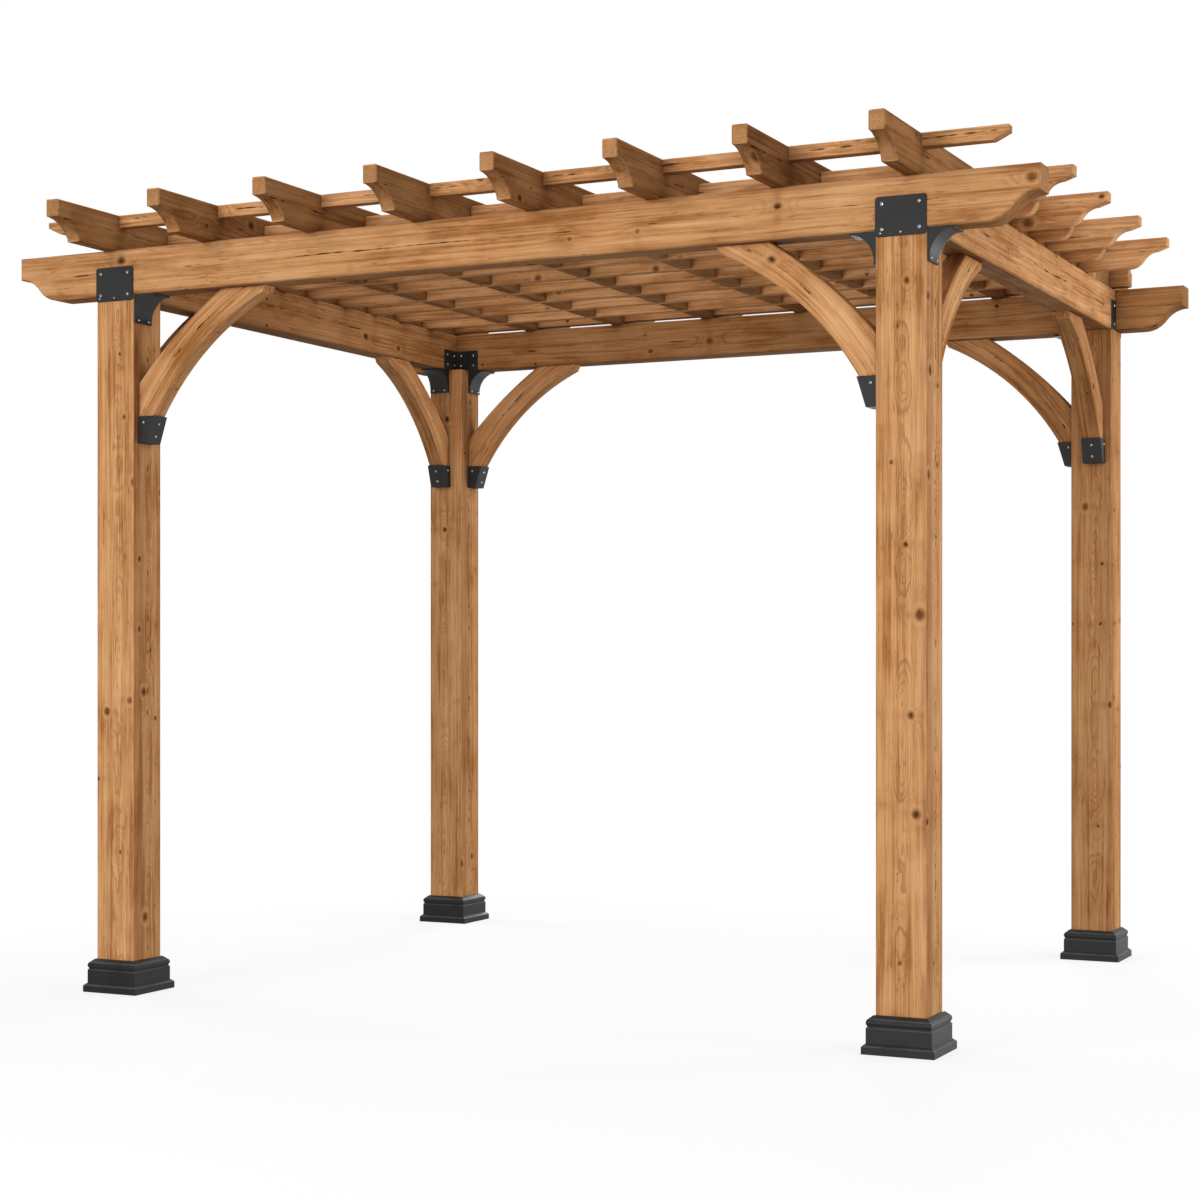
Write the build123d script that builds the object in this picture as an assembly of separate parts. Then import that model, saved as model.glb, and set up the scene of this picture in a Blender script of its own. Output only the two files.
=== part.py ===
from build123d import *
import os

os.makedirs("parts", exist_ok=True)

# Posts, in mm: X runs along the front, Y to the back, Z up from the ground
post_span_x = 2540
post_span_y = 2072
post_side = 140
post_height = 2160
post_ease = 5

# Beams on the post tops, outer faces flush with the posts
beam_thickness = 89
beam_height = 140
front_beam_overhang = 300
rear_beam_overhang = 232
beam_ease = 4
beam_end_face = 68
beam_ogee_run = 145

# Rafters from front to back on the beams
rafter_count = 8
rafter_width = 45
rafter_height = 112
rafter_overhang = 270
rafter_ease = 3
rafter_tip_face = 51
rafter_cove_run = 98
rafter_heel = 9

# A slim slat let into the rafter tops over the front beam
slat_side = 38
slat_overhang = 210
slat_chamfer_run = 42
slat_chamfer_rise = 20
slat_ease = 2
notch_clearance = 0.25

# A deep rail half-lapped with the rafters over the rear beam
rail_width = 38
rail_height = 99
rail_overhang = 40
rail_ease = 2

# Cross boards between the two, half-lapped with the rafters, some with short rounded ends
board_count = 9
board_pitch = 203
board_width = 38
board_height = 90
board_overhang = 108
board_corner = 42
board_ease = 2

# Ogee tails that carry every second board past the outer rafters
tail_width = 45
tail_overhang = 265
tail_tip_face = 28
tail_lip_run = 32
tail_lip_drop = 11
tail_ogee_run = 92
tail_ease = 2.5

# Arched knee braces, two at each post
brace_thickness = 60
brace_set_back = 27
brace_back_drop = 273
brace_back_reach = 308
brace_back_bow = 14
brace_front_drop = 374
brace_front_width = 57
brace_front_reach = 465
brace_front_bow = 42
brace_nib = 22
brace_nib_rake = 11
brace_foot_drop = 455
brace_foot_width = 31
brace_ease = 3

# Steel shoe round each brace foot
shoe_steel = 4
shoe_rim = 2
shoe_ease = 1.2

# Steel angle brackets under the beams
bracket_leg = 88
bracket_flange = 74
bracket_width = 80
bracket_toe = 7
bracket_lip = 16
bracket_hollow = 17

# Flat steel plates over the joints
plate_steel = 4
front_plate_height = 105
front_plate_lap = 18
side_plate_width = 56
side_plate_height = 100
corner_plate_leg = 96
corner_plate_height = 76
plate_gap = 0.5
plate_corner = 5
plate_ease = 1

# Moulded trim round each post foot
trim_flange_side = 200
trim_flange_height = 22
trim_flange_slope = 6
trim_flange_ease = 2.5
trim_body_side = 180
trim_body_height = 70
trim_groove_depth = 3
trim_groove_ease = 1.5
trim_groove_height = 4
trim_bead_height = 18
trim_bead_bulge = 4
trim_bead_set_back = 5
trim_height = 101
trim_lip = 4
trim_wall = 6
trim_clearance = 0.3

# Levels and faces that the pieces share
half_x = post_span_x / 2
half_y = post_span_y / 2
outer_x = half_x + post_side / 2
outer_y = half_y + post_side / 2
inner_x = outer_x - beam_thickness
inner_y = outer_y - beam_thickness
beam_top = post_height + beam_height
roof_top = beam_top + rafter_height
board_top = beam_top + board_height
rafter_limit = outer_x - beam_thickness / 2
rafter_pitch = 2 * rafter_limit / (rafter_count - 1)
rafter_places = [-rafter_limit + index * rafter_pitch for index in range(rafter_count)]
outer_rafter_face = rafter_limit + rafter_width / 2
board_lap = board_height / 2
rail_lap = rail_height / 2
beam_middle = outer_y - beam_thickness / 2
board_places = [(index - (board_count - 1) / 2) * board_pitch for index in range(board_count)]
tail_places = board_places[1::2]
stub_places = board_places[2:-1:2]
flush_places = [board_places[0], *tail_places, board_places[-1]]

corners = {
    "front_left": (-1, -1),
    "front_right": (1, -1),
    "rear_left": (-1, 1),
    "rear_right": (1, 1),
}
bracket_sides = {
    "front_left": ("under_long", "under_side"),
    "front_right": ("under_long", "under_side", "outside"),
    "rear_left": ("under_long", "under_side"),
    "rear_right": ("under_long",),
}


def save(node, *solids):
    shape = solids[0] if len(solids) == 1 else Compound(children=list(solids))
    export_step(shape, f"parts/{node}.step")


def upright(origin, run):
    """A vertical drawing plane: its x follows run, its y goes up."""
    run = Vector(*run)
    return Plane(origin=origin, x_dir=run, z_dir=run.cross(Vector(0, 0, 1)))


def slab(edges, plane, thickness):
    """The outline in edges, given an equal thickness each side of the plane."""
    face = plane * make_face(edges)
    return extrude(face, amount=thickness / 2, dir=plane.z_dir, both=True)


def ease_outline(solid, across, width):
    """Take the arris off every edge that borders one of the two broad faces."""
    faces = solid.faces().sort_by(across)
    return chamfer(faces[0].edges() + faces[-1].edges(), width)


def mirrored(edges):
    return edges + [mirror(edge, about=Plane.YZ) for edge in edges]


def ogee(start, end):
    """Two equal arcs from start to end, level at both."""
    middle = ((start[0] + end[0]) / 2, (start[1] + end[1]) / 2)
    return [
        TangentArc(start, middle, tangent=(-1, 0)),
        TangentArc(end, middle, tangent=(1, 0)),
    ]


def make_post(sx, sy):
    post = Pos(sx * half_x, sy * half_y, post_height / 2) * Box(post_side, post_side, post_height)
    return fillet(post.edges().filter_by(Axis.Z), post_ease)


def make_trim(sx, sy):
    flange = trim_flange_side / 2
    body = trim_body_side / 2
    groove = body - trim_groove_depth
    groove_top = trim_body_height + trim_groove_height
    bead_top = (body - trim_bead_set_back, groove_top + trim_bead_height)
    lip_top = (post_side / 2 + trim_lip, trim_height)
    half = [
        Polyline(
            (0, 0),
            (flange, 0),
            (flange, trim_flange_height - trim_flange_ease),
            (flange - trim_flange_ease, trim_flange_height),
            (body, trim_flange_height + trim_flange_slope),
            (body, trim_body_height - trim_groove_ease),
            (body - trim_groove_ease, trim_body_height),
            (groove, trim_body_height),
            (groove, groove_top),
        ),
        SagittaArc((groove, groove_top), bead_top, -trim_bead_bulge),
        Polyline(bead_top, lip_top, (0, trim_height)),
    ]
    bar = slab(mirrored(half), upright((0, 0, 0), (1, 0, 0)), trim_flange_side)
    block = bar & bar.rotate(Axis.Z, 90)
    bore = post_side + 2 * trim_clearance
    hollow = trim_body_side - 2 * trim_wall
    hollow_height = trim_body_height - trim_wall
    block -= Pos(0, 0, trim_height / 2) * Box(bore, bore, trim_height)
    block -= Pos(0, 0, hollow_height / 2) * Box(hollow, hollow, hollow_height)
    return Pos(sx * half_x, sy * half_y, 0) * block


def make_long_beam(sy, overhang):
    tip = outer_x + overhang
    start = (tip, beam_height - beam_end_face)
    end = (tip - beam_ogee_run, 0)
    half = [Polyline((0, beam_height), (tip, beam_height), start), *ogee(start, end), Line(end, (0, 0))]
    plane = upright((0, sy * beam_middle, post_height), (1, 0, 0))
    beam = slab(mirrored(half), plane, beam_thickness)
    return ease_outline(beam, Axis.Y, beam_ease)


def make_side_beam(sx):
    middle = (sx * (outer_x - beam_thickness / 2), 0, post_height + beam_height / 2)
    beam = Pos(*middle) * Box(beam_thickness, 2 * inner_y, beam_height)
    return chamfer(beam.edges().filter_by(Axis.Y), beam_ease)


def make_rafter(place):
    """Coved at both tips, notched on top for the slat and the rail and below for the boards."""
    tip = outer_y + rafter_overhang
    cove_start = (tip, rafter_height - rafter_tip_face)
    cove_end = (tip - rafter_cove_run, rafter_heel)
    half = [
        Polyline((0, rafter_height), (tip, rafter_height), cove_start),
        TangentArc(cove_start, cove_end, tangent=(-1, 0)),
        Polyline(cove_end, (cove_end[0], 0), (0, 0)),
    ]
    rafter = slab(mirrored(half), upright((place, 0, beam_top), (0, 1, 0)), rafter_width)
    rafter = ease_outline(rafter, Axis.X, rafter_ease)
    slat_notch = Box(rafter_width, slat_side + 2 * notch_clearance, slat_side)
    rafter -= Pos(place, -beam_middle, roof_top - slat_side / 2) * slat_notch
    rail_notch = Box(rafter_width, rail_width + 2 * notch_clearance, rail_lap)
    rafter -= Pos(place, beam_middle, roof_top - rail_lap / 2) * rail_notch
    board_notch = Box(rafter_width, board_width + 2 * notch_clearance, board_lap)
    for y in board_places:
        rafter -= Pos(place, y, beam_top + board_lap / 2) * board_notch
    return rafter


def make_slat():
    tip = outer_x + slat_overhang
    half = [
        Polyline(
            (0, slat_side),
            (tip, slat_side),
            (tip, slat_chamfer_rise),
            (tip - slat_chamfer_run, 0),
            (0, 0),
        )
    ]
    slat = slab(mirrored(half), upright((0, -beam_middle, roof_top - slat_side), (1, 0, 0)), slat_side)
    return ease_outline(slat, Axis.Y, slat_ease)


def make_rail():
    """Level with the rafter tops and notched below to sit half into each of them."""
    tip = outer_x + rail_overhang
    rail = Pos(0, beam_middle, roof_top - rail_height / 2) * Box(2 * tip, rail_width, rail_height)
    rail = ease_outline(rail, Axis.Y, rail_ease)
    notch = Box(rafter_width + 2 * notch_clearance, rail_width, rail_lap)
    for x in rafter_places:
        rail -= Pos(x, beam_middle, roof_top - rail_height + rail_lap / 2) * notch
    return rail


def make_board(y, tip, corner=0):
    """Level with the rafters below and notched on top to sit half into each of them."""
    board = Pos(0, y, beam_top + board_height / 2) * Box(2 * tip, board_width, board_height)
    if corner:
        board = fillet(board.edges().filter_by(Axis.Y).group_by(Axis.Z)[0], corner)
    board = ease_outline(board, Axis.Y, board_ease)
    notch = Box(rafter_width + 2 * notch_clearance, board_width, board_lap)
    for x in rafter_places:
        board -= Pos(x, y, board_top - board_lap / 2) * notch
    return board


def make_tail(sx, y):
    tip = outer_x + tail_overhang
    face_end = (tip, board_height - tail_tip_face)
    lip_end = (tip - tail_lip_run, face_end[1] - tail_lip_drop)
    heel = (lip_end[0] - tail_ogee_run, 0)
    outline = [
        Polyline(
            heel,
            (outer_rafter_face, 0),
            (outer_rafter_face, board_height),
            (tip, board_height),
            face_end,
            lip_end,
        ),
        *ogee(lip_end, heel),
    ]
    tail = slab(outline, upright((0, sx * y, beam_top), (1, 0, 0)), tail_width)
    tail = ease_outline(tail, Axis.Y, tail_ease)
    return tail if sx > 0 else tail.rotate(Axis.Z, 180)


def brace_outline():
    """Drawn from the corner of post and beam: x away from the post, y up to the beam."""
    back_low = (0, -brace_back_drop)
    back_high = (brace_back_reach, 0)
    nib = (brace_front_reach - brace_nib_rake, -brace_nib)
    front_low = (brace_front_width, -brace_front_drop)
    foot = (brace_foot_width, -brace_foot_drop)
    return [
        SagittaArc(back_low, back_high, brace_back_bow),
        Polyline(back_high, (brace_front_reach, 0), nib),
        SagittaArc(front_low, nib, brace_front_bow),
        Polyline(front_low, foot, (0, -brace_foot_drop), back_low),
    ]


def brace_blank(plane):
    return slab(brace_outline(), plane, brace_thickness)


def make_brace(plane):
    return ease_outline(brace_blank(plane), Axis((0, 0, 0), plane.z_dir), brace_ease)


def make_shoe(plane):
    """Two cheeks, a sloping front and a floor round the brace foot."""
    top = -brace_front_drop - shoe_rim
    low = -brace_foot_drop - shoe_steel
    outline = Polyline(
        (0, top),
        (brace_front_width + shoe_steel, top),
        (brace_foot_width + shoe_steel, low),
        (0, low),
        close=True,
    )
    cover = slab(outline.edges(), plane, brace_thickness + 2 * shoe_steel)
    return ease_outline(cover, Axis((0, 0, 0), plane.z_dir), shoe_ease) - brace_blank(plane)


def make_bracket(plane):
    """An angle with a hollow-curved face from its lip to its toe."""
    lip_end = (bracket_flange - bracket_lip, -bracket_toe)
    toe = (bracket_toe, -bracket_leg)
    outline = [
        Polyline(
            toe,
            (0, -bracket_leg),
            (0, 0),
            (bracket_flange, 0),
            (bracket_flange, -bracket_toe),
            lip_end,
        ),
        SagittaArc(lip_end, toe, -bracket_hollow),
    ]
    return slab(outline, plane, bracket_width)


def corner_planes(sx, sy, set_back):
    """Drawing planes at a post: under its long beam, under its side beam and outside."""
    along_y = sy * (outer_y - set_back)
    along_x = sx * (outer_x - set_back)
    under_long = upright((sx * (half_x - post_side / 2), along_y, post_height), (-sx, 0, 0))
    under_side = upright((along_x, sy * (half_y - post_side / 2), post_height), (0, -sy, 0))
    outside = upright((sx * outer_x, along_y, post_height), (sx, 0, 0))
    return {"under_long": under_long, "under_side": under_side, "outside": outside}


def make_plate(plane, width, height):
    """A flat plate with its back on the plane, clipped corners and an eased front."""
    outline = chamfer(Rectangle(width, height).vertices(), plate_corner)
    plate = extrude(plane * outline, amount=plate_steel)
    front = plate.faces().sort_by(Axis(plane.origin, plane.z_dir))[-1]
    return chamfer(front.edges(), plate_ease)


def make_beam_plate(sx, sy):
    level = post_height - front_plate_lap + front_plate_height / 2
    wall = Plane((sx * half_x, sy * outer_y, level), x_dir=(1, 0, 0), z_dir=(0, sy, 0))
    return make_plate(wall, post_side, front_plate_height)


def make_side_plate(sx, sy):
    place = sy * (inner_y - plate_gap - side_plate_width / 2)
    level = post_height + side_plate_height / 2
    wall = Plane((sx * outer_x, place, level), x_dir=(0, 1, 0), z_dir=(sx, 0, 0))
    return make_plate(wall, side_plate_width, side_plate_height)


def make_corner_plate(sx, sy):
    leg = corner_plate_leg
    block = Box(leg, leg, corner_plate_height)
    block -= Pos(-sx * plate_steel, -sy * plate_steel, 0) * Box(leg, leg, corner_plate_height)
    level = post_height + corner_plate_height / 2
    return Pos(sx * (inner_x - leg / 2), sy * (inner_y - leg / 2), level) * block


for name, signs in corners.items():
    save(f"post_{name}", make_post(*signs))
    save(f"base_trim_{name}", make_trim(*signs))
    brace_set = corner_planes(*signs, brace_set_back + brace_thickness / 2)
    save(f"long_brace_{name}", make_brace(brace_set["under_long"]))
    save(f"side_brace_{name}", make_brace(brace_set["under_side"]))
    save(f"brace_shoes_{name}", make_shoe(brace_set["under_long"]), make_shoe(brace_set["under_side"]))
    bracket_set = corner_planes(*signs, beam_thickness / 2)
    save(f"angle_brackets_{name}", *[make_bracket(bracket_set[side]) for side in bracket_sides[name]])

save("front_beam", make_long_beam(-1, front_beam_overhang))
save("rear_beam", make_long_beam(1, rear_beam_overhang))
save("left_beam", make_side_beam(-1))
save("right_beam", make_side_beam(1))

for index, place in enumerate(rafter_places):
    save(f"rafter_{index + 1}", make_rafter(place))

save("front_slat", make_slat())
save("rear_slat", make_rail())
flush_boards = [make_board(y, outer_rafter_face) for y in flush_places]
stub_boards = [make_board(y, outer_x + board_overhang, board_corner) for y in stub_places]
save("inner_slats", *flush_boards, *stub_boards)

save("left_rafter_tails", *[make_tail(-1, y) for y in tail_places])
save("right_rafter_tails", *[make_tail(1, y) for y in tail_places])

save("front_beam_plates", *[make_beam_plate(sx, -1) for sx in (-1, 1)])
save("rear_beam_plates", *[make_beam_plate(sx, 1) for sx in (-1, 1)])
save("side_beam_plates", *[make_side_plate(*signs) for signs in corners.values()])
save("inner_corner_plates", *[make_corner_plate(*signs) for signs in corners.values()])
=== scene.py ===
import math

import bpy
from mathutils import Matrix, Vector


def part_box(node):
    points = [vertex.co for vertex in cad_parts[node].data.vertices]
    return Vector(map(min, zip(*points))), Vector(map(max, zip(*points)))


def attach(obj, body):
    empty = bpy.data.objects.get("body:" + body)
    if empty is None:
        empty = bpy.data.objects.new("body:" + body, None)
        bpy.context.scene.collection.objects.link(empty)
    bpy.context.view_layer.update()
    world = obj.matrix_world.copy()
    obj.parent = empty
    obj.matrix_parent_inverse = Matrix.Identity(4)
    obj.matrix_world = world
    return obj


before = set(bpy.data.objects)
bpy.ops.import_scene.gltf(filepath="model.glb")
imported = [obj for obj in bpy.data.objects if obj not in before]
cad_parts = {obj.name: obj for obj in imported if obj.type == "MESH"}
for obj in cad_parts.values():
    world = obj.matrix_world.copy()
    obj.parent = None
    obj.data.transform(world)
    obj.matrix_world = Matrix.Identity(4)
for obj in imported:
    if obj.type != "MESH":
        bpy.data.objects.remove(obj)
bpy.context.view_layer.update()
scene = bpy.context.scene

# What repeats in the timber frame
CORNERS = {"front_left": (-1, -1), "front_right": (1, -1), "rear_left": (-1, 1), "rear_right": (1, 1)}
RAFTER_COUNT = 8
BOARD_COUNT = 9
BOARD_WIDTH = 0.038
TAIL_COUNT = 4
TAIL_WIDTH = 0.045
BRACKET_SIDES = {
    "front_left": ("under_long", "under_side"),
    "front_right": ("under_long", "under_side", "outside"),
    "rear_left": ("under_long", "under_side"),
    "rear_right": ("under_long",),
}


class Wiring:
    """Adds nodes to one tree and wires them."""

    def __init__(self, tree):
        self.tree = tree

    def feed(self, socket, value):
        if isinstance(value, bpy.types.NodeSocket):
            self.tree.links.new(value, socket)
        elif value is not None:
            socket.default_value = value

    def node(self, kind, inputs=(), **settings):
        node = self.tree.nodes.new(kind)
        for key, value in settings.items():
            setattr(node, key, value)
        for key, value in dict(inputs).items():
            self.feed(node.inputs[key], value)
        return node

    def math(self, operation, *values, clamp=False):
        node = self.node("ShaderNodeMath", dict(enumerate(values)), operation=operation, use_clamp=clamp)
        return node.outputs[0]

    def total(self, first, *others):
        for other in others:
            first = self.math("ADD", first, other)
        return first

    def product(self, first, *others):
        for other in others:
            first = self.math("MULTIPLY", first, other)
        return first

    def vector(self, operation, *values, out=0):
        node = self.node("ShaderNodeVectorMath", dict(enumerate(values)), operation=operation)
        return node.outputs[out]

    def split(self, vector):
        return self.node("ShaderNodeSeparateXYZ", {0: vector}).outputs

    def join(self, x, y, z):
        return self.node("ShaderNodeCombineXYZ", {0: x, 1: y, 2: z}).outputs[0]

    def noise(self, vector, scale=1.0, detail=2.0, roughness=0.5, out="Fac"):
        inputs = {"Vector": vector, "Scale": scale, "Detail": detail, "Roughness": roughness}
        return self.node("ShaderNodeTexNoise", inputs).outputs[out]

    def swing(self, *arguments, **more):
        """Noise about zero, from -0.5 to 0.5."""
        return self.math("SUBTRACT", self.noise(*arguments, **more), 0.5)

    def dice(self, number):
        """Three fixed random numbers from 0 to 1 for each number."""
        node = self.node("ShaderNodeTexWhiteNoise", {"W": number}, noise_dimensions="1D")
        return self.split(node.outputs["Color"])

    def ramp(self, value, *stops):
        """Maps a value through grey stops of (place, level)."""
        node = self.node("ShaderNodeValToRGB", {"Fac": value})
        elements = node.color_ramp.elements
        while len(elements) < len(stops):
            elements.new(0.5)
        for element, (place, level) in zip(elements, stops):
            element.position = place
            element.color = (level, level, level, 1)
        return node.outputs[0]

    def remap(self, value, low, high, to_low=0.0, to_high=1.0):
        inputs = {"Value": value, "From Min": low, "From Max": high, "To Min": to_low, "To Max": to_high}
        return self.node("ShaderNodeMapRange", inputs, interpolation_type="SMOOTHSTEP").outputs[0]

    def pick(self, factor, first, second):
        node = self.node("ShaderNodeMix", data_type="FLOAT")
        for socket, value in ((0, factor), (2, first), (3, second)):
            self.feed(node.inputs[socket], value)
        return node.outputs[0]

    def mix(self, factor, first, second, blend="MIX"):
        node = self.node("ShaderNodeMix", data_type="RGBA", blend_type=blend)
        for socket, value in ((0, factor), (6, first), (7, second)):
            self.feed(node.inputs[socket], value)
        return node.outputs[2]


def rgb(red, green, blue):
    return (red, green, blue, 1.0)


def new_material(name):
    material = bpy.data.materials.new(name)
    material.use_nodes = True
    material.node_tree.nodes.clear()
    return material, Wiring(material.node_tree)


# Colours of the stained cedar, linear
CEDAR_PALE = rgb(0.840, 0.475, 0.228)
CEDAR_EARLY = rgb(0.700, 0.352, 0.148)
CEDAR_LATE = rgb(0.270, 0.098, 0.027)
CEDAR_RED = rgb(0.420, 0.170, 0.051)
CEDAR_END = rgb(0.430, 0.215, 0.088)
KNOT_HEART = rgb(0.050, 0.028, 0.014)
KNOT_RIM = rgb(0.190, 0.072, 0.022)
CHECK_DARK = rgb(0.055, 0.024, 0.010)

# How each kind of timber was sawn from the tree: depths and rings in metres, rates for each metre
POST_CUT = {
    "Heart Depth": 0.030,
    "Heart Sway": 0.052,
    "Sway Rate": 3.9,
    "Ring": 0.0056,
    "Check Rate": 30.0,
    "Knot Share": 0.55,
}


def cut_like(depth, sway, rate, ring, checks, knots):
    return dict(zip(POST_CUT, (depth, sway, rate, ring, checks, knots)))


BEAM_CUT = cut_like(0.045, 0.030, 1.2, 0.0098, 8.0, 0.42)
RAFTER_CUT = cut_like(0.034, 0.022, 1.9, 0.0078, 11.0, 0.40)
BOARD_CUT = {**RAFTER_CUT, "Knot Share": 0.20}
SLAT_CUT = cut_like(0.030, 0.014, 1.6, 0.0066, 12.0, 0.34)
BRACE_CUT = cut_like(0.028, 0.020, 2.6, 0.0074, 18.0, 0.40)

# Knots, in metres: the cell that may hold one, its radius, and how far it bends and darkens the wood
KNOT_CELL = (0.225, 0.094)
KNOT_SCATTER = 0.85
KNOT_SIZES = (0.0032, 0.0082)
KNOT_STRETCH = 0.78
KNOT_WOBBLE = (0.012, 0.009)
KNOT_WOBBLE_RATE = 85.0
KNOT_SWELL = (0.046, 0.022)
KNOT_PUSH = 0.034
KNOT_SMEAR = (0.012, 0.040)

# Year rings, in metres, with the darkness of one ring from its inner to its outer side
HEART_BAND = 0.023
HEART_WANDER = 0.035
RING_RIPPLE = 0.0105
RING_PROFILE = ((0.0, 0.0), (0.48, 0.06), (0.80, 1.0), (0.92, 0.80), (1.0, 0.0))
END_RING = 0.0046
END_RIPPLE = 0.004

# Drying cracks, in metres, with two lines on a face as (spread about the middle, share without a crack)
CHECK_LINES = ((0.3, 0.52), (1.3, 0.62))
CHECK_WANDER = 0.016
CHECK_WIDTH = 0.0028
CHECK_EDGE = 0.0006

# Layers of fibre as (waves a metre along, waves a metre across, roughness), and their weight in the tone
FIBRE_LAYERS = {
    "fine": (4.0, 250.0, 0.65),
    "fibre": (2.6, 105.0, 0.6),
    "streak": (1.4, 46.0, 0.6),
    "broad": (1.1, 15.0, 0.6),
    "blotch": (5.0, 9.0, 0.6),
}
TONE_WEIGHTS = {"broad": 1.0, "streak": 0.9, "fibre": 1.2, "blotch": 1.0}
FLECK_RATES = (24.0, 150.0, 150.0)

# The surface of the wood: roughness, gloss, and the depth of its relief in metres
WOOD_ROUGHNESS = 0.84
WOOD_GLOSS = 0.05
WOOD_BUMP = 0.40
WOOD_RELIEF = 0.0012

# Painted shade beside each arris with a painted highlight on it, painted shade beside one edge of the
# upright faces, and painted shade in creases near joints, in metres
ARRIS_SHADE_BAND = (0.020, 0.003)
ARRIS_HIGHLIGHT = (0.0050, 0.0020)
SIDE_SHADE_BAND = (0.060, 0.034)
CREASE_SHADE_REACH = 0.17
CREASE_SHADE_DARKEST = 0.44

# Darkening, by staining and by painted shade, takes away most of the blue and least of the red
STAIN_AND_SHADE_TINT = (1.0, 1.14, 1.36)


def read_face(w, given):
    """The face in hand: x along it, v across it, its half width, and a lane that tells the faces apart."""
    x, y, z = w.split(given["Place"])
    half_y, half_z = w.split(given["Half Size"])[1:3]
    facing = w.split(given["Facing"])
    along, aside, lift = w.split(w.vector("ABSOLUTE", given["Facing"]))
    flat = w.math("GREATER_THAN", lift, aside)
    outward = w.math("SIGN", w.pick(flat, facing[1], facing[2]))
    lane = w.total(given["Seed"], w.product(outward, 1.7), w.product(flat, 5.3))
    return {
        "x": x,
        "y": y,
        "z": z,
        "v": w.pick(flat, z, y),
        "half": w.pick(flat, half_z, half_y),
        "flat": flat,
        "lane": lane,
        "dice": w.dice(lane),
        "end": w.remap(along, 0.60, 0.85),
    }


def soft_spot(w, away_x, away_v, sizes):
    """1 at the middle of a spot, fading out over its two sizes."""
    shares = [w.math("DIVIDE", away, size) for away, size in zip((away_x, away_v), sizes)]
    squares = [w.math("POWER", share, 2.0) for share in shares]
    return w.math("EXPONENT", w.product(w.total(*squares), -1.0))


def find_knots(w, given, face):
    """At most one knot in each cell of the face: heart, rim, pale halo, swell and smear."""
    at = w.join(
        w.math("MULTIPLY_ADD", face["x"], 1 / KNOT_CELL[0], w.product(face["lane"], 3.7)),
        w.math("MULTIPLY_ADD", face["v"], 1 / KNOT_CELL[1], w.product(face["lane"], 5.3)),
        0.0,
    )
    layout = {"Vector": at, "Scale": 1.0, "Randomness": KNOT_SCATTER}
    cells = w.node("ShaderNodeTexVoronoi", layout, voronoi_dimensions="2D")
    away = w.vector("MULTIPLY", w.vector("SUBTRACT", at, cells.outputs["Position"]), (*KNOT_CELL, 0.0))
    wobble = w.noise(given["Place"], KNOT_WOBBLE_RATE, 3.0, 0.7, out="Color")
    wobble = w.vector("SUBTRACT", wobble, (0.5, 0.5, 0.5))
    away = w.vector("MULTIPLY_ADD", wobble, (*KNOT_WOBBLE, 0.0), away)
    chance, size, age = w.split(cells.outputs["Color"])
    present = w.math("LESS_THAN", chance, given["Knot Share"])
    away_x, away_v, _ = w.split(away)
    distance = w.vector("LENGTH", w.join(w.product(away_x, KNOT_STRETCH), away_v, 0.0), out=1)
    least, most = KNOT_SIZES
    radius = w.math("MULTIPLY_ADD", w.product(size, size), most - least, least)
    reach = w.math("DIVIDE", distance, radius)
    weight = w.product(w.remap(size, 0.0, 1.0, 0.35, 1.0), present)
    return {
        "heart": w.product(w.remap(reach, 1.10, 0.65), w.remap(age, 0.15, 0.85, 0.25, 1.0), present),
        "rim": w.product(w.remap(reach, 2.0, 0.9), present),
        "halo": w.product(w.remap(reach, 1.5, 2.4), w.remap(reach, 4.2, 2.4), weight),
        "swell": w.product(soft_spot(w, away_x, away_v, KNOT_SWELL), weight),
        "smear": w.product(soft_spot(w, away_x, away_v, KNOT_SMEAR), weight),
    }


def ring_line(w, phase, salt):
    """The dark late wood of each ring, sharp on its outer side and unlike its neighbours."""
    ring = w.math("FLOOR", phase)
    late = w.ramp(w.math("SUBTRACT", phase, ring), *RING_PROFILE)
    return w.product(late, w.remap(w.dice(w.total(ring, salt))[0], 0.0, 1.0, 0.30, 1.0))


def grow_rings(w, given, face, knots):
    """Arches near the heart of the tree, straight lines beside them, and rings on the ends."""
    x, v, lane = face["x"], face["v"], face["lane"]
    wander = w.swing(w.join(w.product(x, 0.9), lane, 0.0))
    start = w.product(w.math("SUBTRACT", face["dice"][0], 0.5), face["half"], 0.55)
    aside = w.math("SUBTRACT", v, w.math("MULTIPLY_ADD", wander, HEART_WANDER, start))
    band = w.math("POWER", w.math("DIVIDE", aside, HEART_BAND), 2.0)
    fade = w.math("EXPONENT", w.product(band, -1.0))
    sway = w.swing(w.join(w.product(x, given["Sway Rate"]), w.product(lane, 2.3), 0.0), 1.0, 1.5, 0.6)
    depth = w.math("MULTIPLY_ADD", w.product(sway, given["Heart Sway"], 2.0), fade, given["Heart Depth"])
    ripple = w.swing(w.vector("MULTIPLY", given["Place"], (8.0, 44.0, 44.0)), 1.0, 4.0, 0.62)
    shift = w.total(w.product(ripple, RING_RIPPLE), w.product(knots["swell"], KNOT_PUSH))
    radius = w.total(w.vector("LENGTH", w.join(aside, depth, 0.0), out=1), shift)
    side_line = ring_line(w, w.math("ADD", w.math("DIVIDE", radius, given["Ring"]), lane), lane)
    side_line = w.product(side_line, w.remap(fade, 0.0, 0.6, 0.55, 1.0))
    pith = w.vector("MULTIPLY", given["Half Size"], (0.0, 0.35, -0.9))
    across = w.vector("SUBTRACT", w.join(0.0, face["y"], face["z"]), pith)
    end_radius = w.math("MULTIPLY_ADD", ripple, END_RIPPLE, w.vector("LENGTH", across, out=1))
    end_line = ring_line(w, w.math("DIVIDE", end_radius, END_RING), given["Seed"])
    return w.pick(face["end"], side_line, end_line)


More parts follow.
